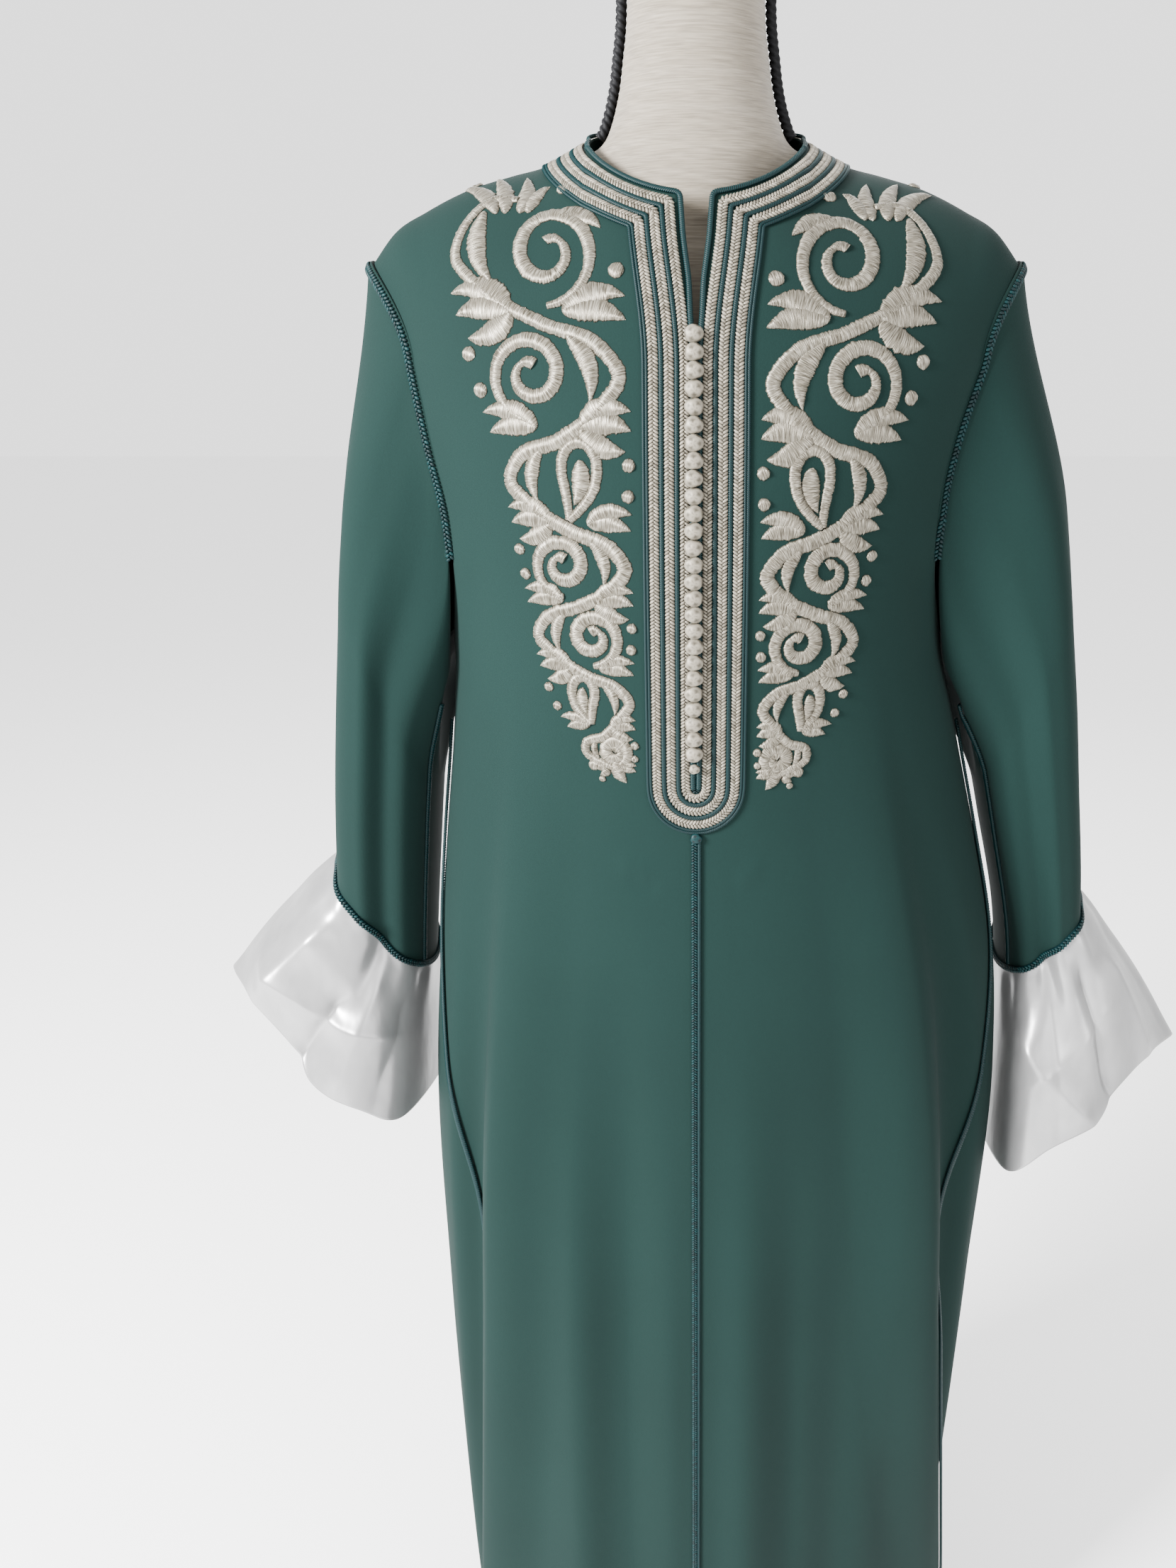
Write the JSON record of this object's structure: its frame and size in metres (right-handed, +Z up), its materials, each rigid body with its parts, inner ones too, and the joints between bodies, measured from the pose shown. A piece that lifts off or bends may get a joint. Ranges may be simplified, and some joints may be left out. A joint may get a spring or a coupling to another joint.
{
  "type": "kaftan on dress form",
  "caption": "Long kaftan with braided neck and front slit, ball buttons, embroidered fronts and flared satin cuffs, shown on a limbless dress form with a round base.",
  "frame": {"origin": "middle of the dress form's base on its underside, on the floor", "axes": "+Z up along the form's pole, -Y out of the garment's front, +X to the viewer's right"},
  "size_m": [0.848, 0.3304, 1.606],
  "materials": {
    "crepe": "matt woven crepe in dusty teal green",
    "satin": "pale silver satin",
    "silver_thread": "plaited silver thread",
    "teal_cord": "twisted dark teal cord",
    "linen": "bare linen cover",
    "black_rope": "braided black rope",
    "dark_metal": "black satin paint"
  },
  "bodies": {
    "root": {"front_left": "crepe", "front_right": "crepe", "back": "crepe", "gore_left": "crepe", "gore_right": "crepe", "sleeve_left": "crepe", "sleeve_right": "crepe", "cuff_left": "satin", "cuff_right": "satin", "braid_silver_inner": "silver_thread", "braid_silver_middle": "silver_thread", "braid_silver_outer": "silver_thread", "cord_slit_edge": "teal_cord", "cord_teal_inner": "teal_cord", "cord_teal_middle": "teal_cord", "cord_teal_outer": "teal_cord", "cord_centre": "teal_cord", "cord_side_left": "teal_cord", "cord_side_right": "teal_cord", "cord_armhole_left": "teal_cord", "cord_armhole_right": "teal_cord", "cord_underarm_left": "teal_cord", "cord_underarm_right": "teal_cord", "cord_cuff_left": "teal_cord", "cord_cuff_right": "teal_cord", "button_01": "silver_thread", "button_02": "silver_thread", "button_03": "silver_thread", "button_04": "silver_thread", "button_05": "silver_thread", "button_06": "silver_thread", "button_07": "silver_thread", "button_08": "silver_thread", "button_09": "silver_thread", "button_10": "silver_thread", "button_11": "silver_thread", "button_12": "silver_thread", "button_13": "silver_thread", "button_14": "silver_thread", "button_15": "silver_thread", "button_16": "silver_thread", "button_17": "silver_thread", "button_18": "silver_thread", "button_19": "silver_thread", "button_20": "silver_thread", "button_21": "silver_thread", "button_22": "silver_thread", "button_23": "silver_thread", "button_24": "silver_thread", "button_25": "silver_thread", "button_26": "silver_thread", "button_27": "silver_thread", "form_body": "linen", "form_cap": "dark_metal", "form_rope_left": "black_rope", "form_rope_right": "black_rope", "form_pole": "dark_metal", "form_base": "dark_metal"}
  },
  "joints": []
}
